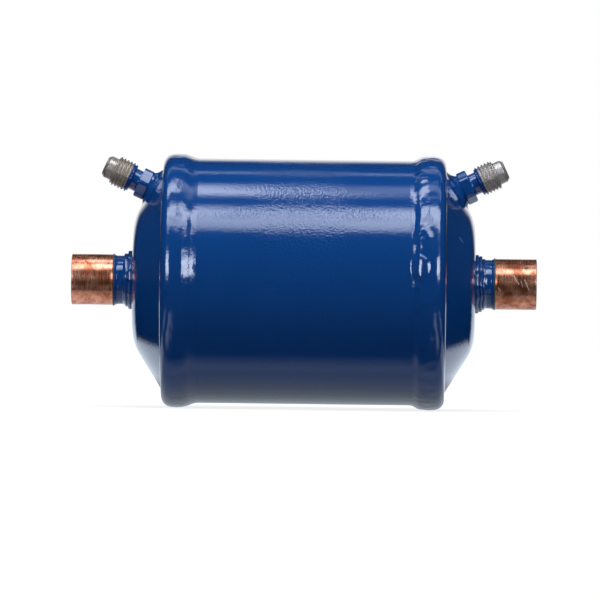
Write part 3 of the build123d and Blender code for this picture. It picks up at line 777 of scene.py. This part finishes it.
floor_mesh = bpy.data.meshes.new("studio_floor")
floor_z = -SKIRT_RADIUS * MM
floor_corners = [(-3, -3, floor_z), (3, -3, floor_z), (3, 3, floor_z), (-3, 3, floor_z)]
floor_mesh.from_pydata(floor_corners, [], [(0, 1, 2, 3)])
floor = bpy.data.objects.new("studio_floor", floor_mesh)
bpy.context.scene.collection.objects.link(floor)

paper = bpy.data.materials.new("matt_white_paper")
paper.use_nodes = True
tree = paper.node_tree
tree.nodes.clear()
matt = node(tree, "BsdfDiffuse", inputs={"Color": linear("#A2A2A4")})
seen = node(tree, "LightPath")
# It glows white for the camera, and a little less close to the drier, so that its shadow stays
ground = node(tree, "TexCoord").outputs["Object"]
reach = node(tree, "VectorMath", {"operation": "LENGTH"}, {0: node(
    tree, "Mapping", inputs={"Vector": ground, "Scale": (1.0, 1.6, 0.0)}).outputs[0]})
glow = node(tree, "MapRange", {"interpolation_type": "SMOOTHSTEP"},
            {"Value": reach.outputs["Value"], "From Min": 0.05, "From Max": 0.13,
             "To Min": 0.84, "To Max": 1.0})
white = node(tree, "Emission", inputs={"Color": (1, 1, 1, 1), "Strength": glow.outputs[0]})
with_shadow = node(tree, "AddShader", inputs={0: white.outputs[0], 1: node(
    tree, "BsdfDiffuse", inputs={"Color": linear("#7A7A7C")}).outputs[0]})
# What the drier mirrors of the floor is a painted glow, seen only in reflections and graded by place on the
# floor, so that it paints reflections into the drier: dark in front of it, bright under and behind it, and
# bright again in a stretch to each side. The stops are shares of the depth range and of the distance to the
# side.
UNDER_STOPS = (
    (0.17, 0.012), (0.34, 0.34), (0.38, 0.34), (0.44, 0.27),
    (0.56, 0.32), (0.7, 0.37), (1.0, 0.42),
)
SIDE_STOPS = (
    (0.25, 0.0), (0.29, 0.8), (0.32, 0.8), (0.35, 0.0),
    (0.44, 0.0), (0.48, 0.7), (0.55, 0.7), (0.62, 0.03),
)
depth = node(tree, "SeparateXYZ", inputs={"Vector": ground})
onward = node(tree, "MapRange", inputs={"Value": depth.outputs["Y"], "From Min": -0.05, "From Max": 0.0})
level = graded(tree, onward.outputs[0], UNDER_STOPS)
sideways = node(tree, "Math", {"operation": "ABSOLUTE"}, {0: depth.outputs["X"]})
beside = node(tree, "Math", {"operation": "MULTIPLY_ADD"},
              {0: depth.outputs["Y"], 1: -1.2, 2: sideways.outputs[0]})
near = node(tree, "MapRange", {"interpolation_type": "SMOOTHSTEP"},
            {"Value": sideways.outputs[0], "From Min": 0.12, "From Max": 0.105})
far = node(tree, "MapRange", {"interpolation_type": "SMOOTHSTEP"},
           {"Value": beside.outputs[0], "From Min": 0.03, "From Max": -0.03})
reflection_glow_share = node(tree, "Math", {"operation": "MAXIMUM"}, {0: near.outputs[0], 1: far.outputs[0]})
raised = node(tree, "MapRange", inputs={
    "Value": sideways.outputs[0], "From Min": 0.067, "From Max": 0.075, "To Min": 1.0, "To Max": 2.1})
reflection_glow_share = node(tree, "Math", {"operation": "MULTIPLY"}, {0: reflection_glow_share.outputs[0], 1: raised.outputs[0]})
under = node(tree, "Math", {"operation": "MULTIPLY"}, {0: level, 1: reflection_glow_share.outputs[0]})
outward_share = node(tree, "MapRange", inputs={
    "Value": sideways.outputs[0], "From Min": 0.0, "From Max": 0.2})
at_sides = graded(tree, outward_share.outputs[0], SIDE_STOPS)
for start, full in ((-0.04, -0.06), (-0.12, -0.09)):
    front = node(tree, "MapRange", {"interpolation_type": "SMOOTHSTEP"},
                 {"Value": depth.outputs["Y"], "From Min": start, "From Max": full})
    at_sides = node(tree, "Math", {"operation": "MULTIPLY"}, {0: at_sides, 1: front.outputs[0]}).outputs[0]
behind = node(tree, "Math", {"operation": "MAXIMUM"}, {0: under.outputs[0], 1: at_sides})
# A glow that only reflections see, which paints the floor's reflections into the drier
mirrored = node(tree, "Emission", inputs={"Color": (0.86, 0.96, 1.1, 1), "Strength": behind.outputs[0]})
first = node(tree, "MixShader", inputs={
    0: seen.outputs["Is Glossy Ray"], 1: matt.outputs[0], 2: mirrored.outputs[0]})
second = node(tree, "MixShader", inputs={0: seen.outputs["Is Camera Ray"], 1: first.outputs[0],
                                         2: with_shadow.outputs[0]})
node(tree, "OutputMaterial", inputs={"Surface": second.outputs[0]})
floor_mesh.materials.append(paper)

room = bpy.data.worlds.new("studio_room")
bpy.context.scene.world = room
room.use_nodes = True
tree = room.node_tree
tree.nodes.clear()
seen = node(tree, "LightPath")
heading = node(tree, "SeparateXYZ", inputs={"Vector": node(tree, "TexCoord").outputs["Generated"]})
behind = node(tree, "MapRange", {"interpolation_type": "SMOOTHSTEP"},
              {"Value": heading.outputs["Y"], "From Min": 0.86, "From Max": 0.97,
               "To Min": 0.012, "To Max": 0.9})
plain = node(tree, "Background", inputs={"Color": linear("#F0F3FF"), "Strength": 0.12})
wall = node(tree, "Background", inputs={"Color": (1, 1, 1, 1), "Strength": behind.outputs[0]})
white = node(tree, "Background", inputs={"Color": (1, 1, 1, 1), "Strength": 1.0})
clear = node(tree, "Math", {"operation": "MAXIMUM"},
             {0: seen.outputs["Is Camera Ray"], 1: seen.outputs["Is Transmission Ray"]})
first = node(tree, "MixShader", inputs={
    0: seen.outputs["Is Glossy Ray"], 1: plain.outputs[0], 2: wall.outputs[0]})
second = node(tree, "MixShader", inputs={0: clear.outputs[0], 1: first.outputs[0], 2: white.outputs[0]})
node(tree, "OutputWorld", inputs={"Surface": second.outputs[0]})

scene = bpy.context.scene
scene.view_settings.view_transform = "Standard"

# Camera: a long lens level with the drier and a hair to its right, rolled so that the right end sits lower
lens = bpy.data.cameras.new("camera")
lens.lens = 429
lens.clip_end = 20
camera = bpy.data.objects.new("camera", lens)
scene.collection.objects.link(camera)
distance = 2.6
turned = radians(0.7)
rolled = radians(0.7)
aim = Vector((-1.42 * MM, 0, -6.6 * MM))
camera.location = aim + distance * Vector((sin(turned), -cos(turned), 0))
camera.rotation_euler = (Matrix.Rotation(turned, 3, "Z") @ Matrix.Rotation(pi / 2, 3, "X")
                         @ Matrix.Rotation(rolled, 3, "Z")).to_euler()
scene.camera = camera
